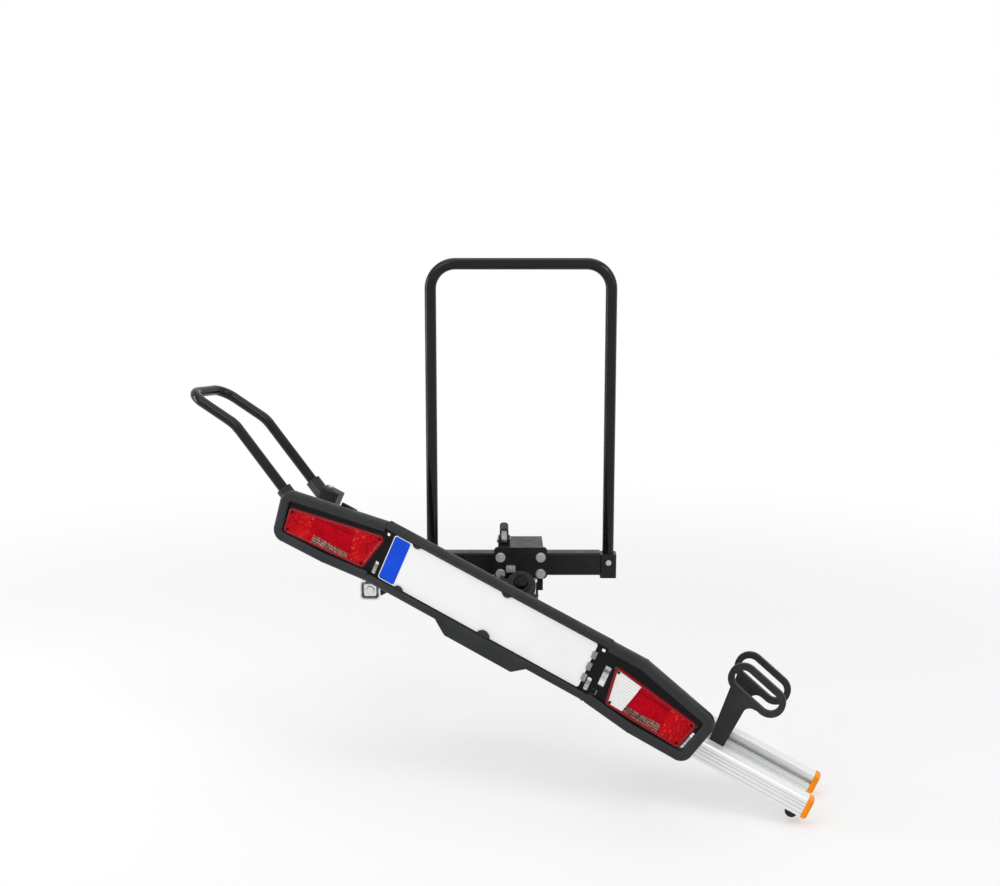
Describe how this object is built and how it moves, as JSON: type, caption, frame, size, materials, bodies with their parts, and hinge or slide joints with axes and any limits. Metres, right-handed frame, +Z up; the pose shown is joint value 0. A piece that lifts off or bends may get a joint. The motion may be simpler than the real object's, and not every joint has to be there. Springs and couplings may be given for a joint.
{
  "type": "motorcycle carrier",
  "caption": "Tow-ball motorcycle carrier: a clamped frame with an arch, and a tilting double-profile rail with a light board, wheel hoop and wheel holders.",
  "frame": {"origin": "centre of the tow ball in its socket", "axes": "+X to the right as seen from behind the car, +Y towards the car, +Z up"},
  "size_m": [1.4861, 0.689, 1.1925],
  "materials": {
    "black_steel": "satin powder coat",
    "gloss_black_tube": "gloss paint",
    "zinc_steel": "bright zinc plate",
    "black_zinc": "black zinc plate",
    "cast_steel": "machined grey",
    "bronze": "plain bearing bronze",
    "anodised_aluminium": "natural anodised",
    "orange_plastic": "moulded",
    "black_rubber": "matt",
    "board_plastic": "fine grained moulding",
    "grey_plastic": "moulded",
    "lamp_black": "moulded",
    "lens_red": "ribbed transparent red",
    "lens_amber": "ribbed transparent amber",
    "lens_clear": "ribbed clear",
    "white_plate": "reflective white sheet",
    "blue_band": "reflective blue film",
    "holder_plastic": "grained moulding"
  },
  "bodies": {
    "frame": {"coupling_body": "black_steel", "lever_pin": "zinc_steel", "front_plate": "black_steel", "plate_bolts": "zinc_steel", "adjuster_nut": "zinc_steel", "pivot_bolt": "black_zinc", "thrust_washer": "bronze", "beam_tubes": "black_steel", "arch_sleeves": "black_steel", "sleeve_bolts": "zinc_steel", "arch": "gloss_black_tube", "outrigger": "black_steel", "end_bracket": "zinc_steel", "end_bracket_core": "zinc_steel", "end_bracket_bolt": "zinc_steel"},
    "lever": {"coupling_lever": "cast_steel", "lever_grip": "black_rubber"},
    "jaw": {"clamp_jaw": "cast_steel"},
    "lock": {"lock_pin": "zinc_steel"},
    "carriage": {"swing_bracket": "black_steel", "bracket_bolts": "zinc_steel", "front_profile": "anodised_aluminium", "rear_profile": "anodised_aluminium", "channel_floor": "anodised_aluminium", "cross_plates": "black_steel", "cross_bolts": "zinc_steel", "end_caps": "orange_plastic", "rail_feet": "black_rubber", "hoop": "gloss_black_tube", "hoop_clamps": "black_steel", "hoop_bolts": "zinc_steel", "board_brackets": "black_steel", "board_bolts": "zinc_steel", "board_frame": "board_plastic", "lamp_carriers": "board_plastic", "lamp_housings": "lamp_black", "lens_red": "lens_red", "lens_amber": "lens_amber", "lens_clear": "lens_clear", "lens_screws": "black_zinc", "number_plate": "white_plate", "plate_band": "blue_band", "plate_clips": "board_plastic", "plate_stops": "grey_plastic"},
    "front_holder": {"holder_front": "holder_plastic", "holder_bolt_front": "zinc_steel"},
    "rear_holder": {"holder_rear": "holder_plastic", "holder_bolt_rear": "zinc_steel"}
  },
  "joints": [
    {"name": "swing", "type": "hinge", "parent": "frame", "child": "carriage", "pos_m": [0, -0.13, 0], "axis": [0, -0.788, 0.6157], "range_deg": [0, 30]},
    {"name": "lever_turn", "type": "hinge", "parent": "frame", "child": "lever", "pos_m": [-0.04, -0.06, 0.098], "axis": [1, 0, 0], "range_deg": [0, 75]},
    {"name": "jaw_slide", "type": "slide", "parent": "frame", "child": "jaw", "axis": [0, -1, 0], "range_m": [0, 0.005]},
    {"name": "lock_slide", "type": "slide", "parent": "frame", "child": "lock", "axis": [0, 0, -1], "range_m": [0, 0.017]},
    {"name": "front_holder_slide", "type": "slide", "parent": "carriage", "child": "front_holder", "axis": [0.866, -0.3078, -0.394], "range_m": [-0.15, 0.12]},
    {"name": "rear_holder_slide", "type": "slide", "parent": "carriage", "child": "rear_holder", "axis": [0.866, -0.3078, -0.394], "range_m": [-0.15, 0.12]}
  ],
  "couplings": [
    {"joint": "jaw_slide", "follows": "lever_turn", "m_per_rad": 0.003743}
  ]
}
